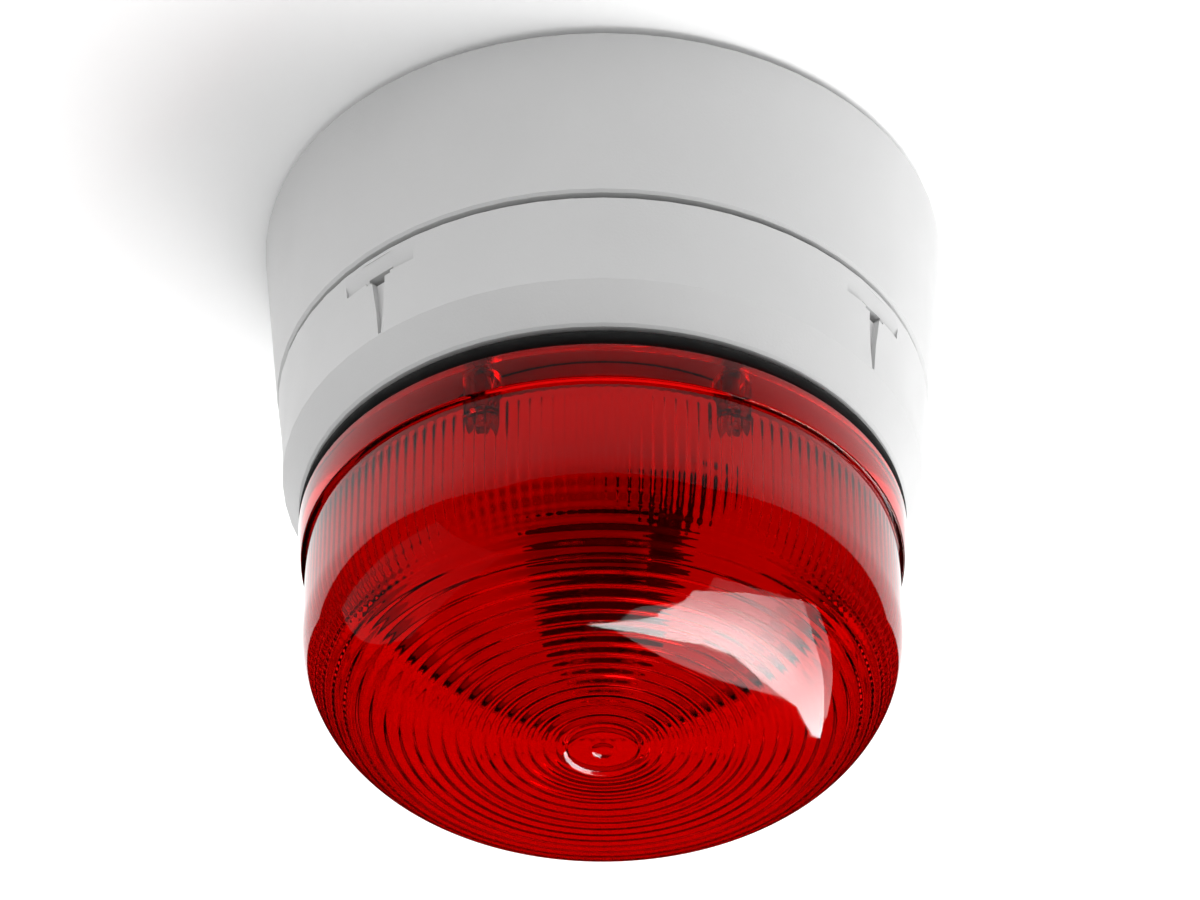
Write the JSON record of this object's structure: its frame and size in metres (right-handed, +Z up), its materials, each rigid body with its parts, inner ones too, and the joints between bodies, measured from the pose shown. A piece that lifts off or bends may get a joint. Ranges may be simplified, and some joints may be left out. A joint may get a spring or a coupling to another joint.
{
  "type": "horn strobe",
  "caption": "Ceiling-mounted fire alarm horn strobe: deep white wiring base, twist-off sounder head, and a red ribbed lens over a xenon flash.",
  "frame": {"origin": "centre of the flat back face that lies against the ceiling", "axes": "+Z up, out of the back face into the ceiling; the device hangs along -Z; -Y is the front, the side the picture shows"},
  "size_m": [0.1, 0.1, 0.0911],
  "materials": {
    "white_plastic": "fine-grained moulded white, semi-matt",
    "bright_white": "smooth white",
    "red_lens": "polished transparent red polycarbonate",
    "black_rubber": "matt black",
    "black_plastic": "satin black",
    "black_sleeve": "heat-shrunk sleeve",
    "grey_plastic": "moulded light grey",
    "green_plastic": "moulded green",
    "blue_plastic": "moulded blue",
    "yellow_tape": "polyester winding tape",
    "circuit_board": "green solder mask",
    "zinc": "zinc-plated steel",
    "brass": "bright brass",
    "clear_glass": "clear drawn glass"
  },
  "bodies": {
    "base": {"mounting_base": "white_plastic", "cable_grommet": "black_rubber", "conduit_plug_left": "grey_plastic", "conduit_plug_right": "grey_plastic", "bayonet_ring": "white_plastic", "ring_screw_1": "zinc", "ring_screw_2": "zinc", "ring_screw_3": "zinc", "ring_screw_4": "zinc", "terminal_board": "circuit_board", "board_screw_1": "zinc", "board_screw_2": "zinc", "board_screw_3": "zinc", "terminal_block": "green_plastic", "terminal_screw_1": "brass", "terminal_screw_2": "brass", "terminal_screw_3": "brass", "terminal_screw_4": "brass", "contact_spring_1": "brass", "contact_spring_2": "brass", "contact_spring_3": "brass"},
    "head": {"body_housing": "white_plastic", "back_cover": "white_plastic", "head_screw_1": "zinc", "head_screw_2": "zinc", "head_screw_3": "zinc", "main_board": "circuit_board", "contact_pin_1": "brass", "contact_pin_2": "brass", "contact_pin_3": "brass", "tone_switch_body": "blue_plastic", "volume_trimmer_body": "blue_plastic", "storage_capacitor": "black_sleeve", "flash_transformer": "yellow_tape", "controller_chip": "black_plastic", "sounder_cup": "black_plastic", "piezo_disc": "brass", "resonator_plate": "black_plastic", "board_spacer_1": "zinc", "board_spacer_2": "zinc", "board_spacer_3": "zinc", "strobe_board": "circuit_board", "trigger_coil": "black_plastic", "reflector": "bright_white", "tube_socket": "black_plastic", "flash_tube": "clear_glass", "lens_seal": "black_rubber", "lens": "red_lens", "lens_screw_1": "zinc", "lens_screw_2": "zinc", "lens_screw_3": "zinc", "lens_screw_4": "zinc"},
    "tone_slider_1": {"tone_slider_1": "white_plastic"},
    "tone_slider_2": {"tone_slider_2": "white_plastic"},
    "tone_slider_3": {"tone_slider_3": "white_plastic"},
    "tone_slider_4": {"tone_slider_4": "white_plastic"},
    "tone_slider_5": {"tone_slider_5": "white_plastic"},
    "tone_slider_6": {"tone_slider_6": "white_plastic"},
    "volume_trimmer_rotor": {"volume_trimmer_rotor": "white_plastic"}
  },
  "joints": [
    {"name": "head_twist", "type": "hinge", "parent": "base", "child": "head", "pos_m": [0, 0, 0], "axis": [0, 0, 1], "range_deg": [-18, 0]},
    {"name": "tone_slide_1", "type": "slide", "parent": "head", "child": "tone_slider_1", "axis": [0, 1, 0], "range_m": [0, 0.0015]},
    {"name": "tone_slide_2", "type": "slide", "parent": "head", "child": "tone_slider_2", "axis": [0, 1, 0], "range_m": [-0.0015, 0]},
    {"name": "tone_slide_3", "type": "slide", "parent": "head", "child": "tone_slider_3", "axis": [0, 1, 0], "range_m": [0, 0.0015]},
    {"name": "tone_slide_4", "type": "slide", "parent": "head", "child": "tone_slider_4", "axis": [0, 1, 0], "range_m": [0, 0.0015]},
    {"name": "tone_slide_5", "type": "slide", "parent": "head", "child": "tone_slider_5", "axis": [0, 1, 0], "range_m": [-0.0015, 0]},
    {"name": "tone_slide_6", "type": "slide", "parent": "head", "child": "tone_slider_6", "axis": [0, 1, 0], "range_m": [0, 0.0015]},
    {"name": "volume_turn", "type": "hinge", "parent": "head", "child": "volume_trimmer_rotor", "pos_m": [0.013, 0.015, -0.031], "axis": [0, 0, 1], "range_deg": [-135, 135]}
  ]
}
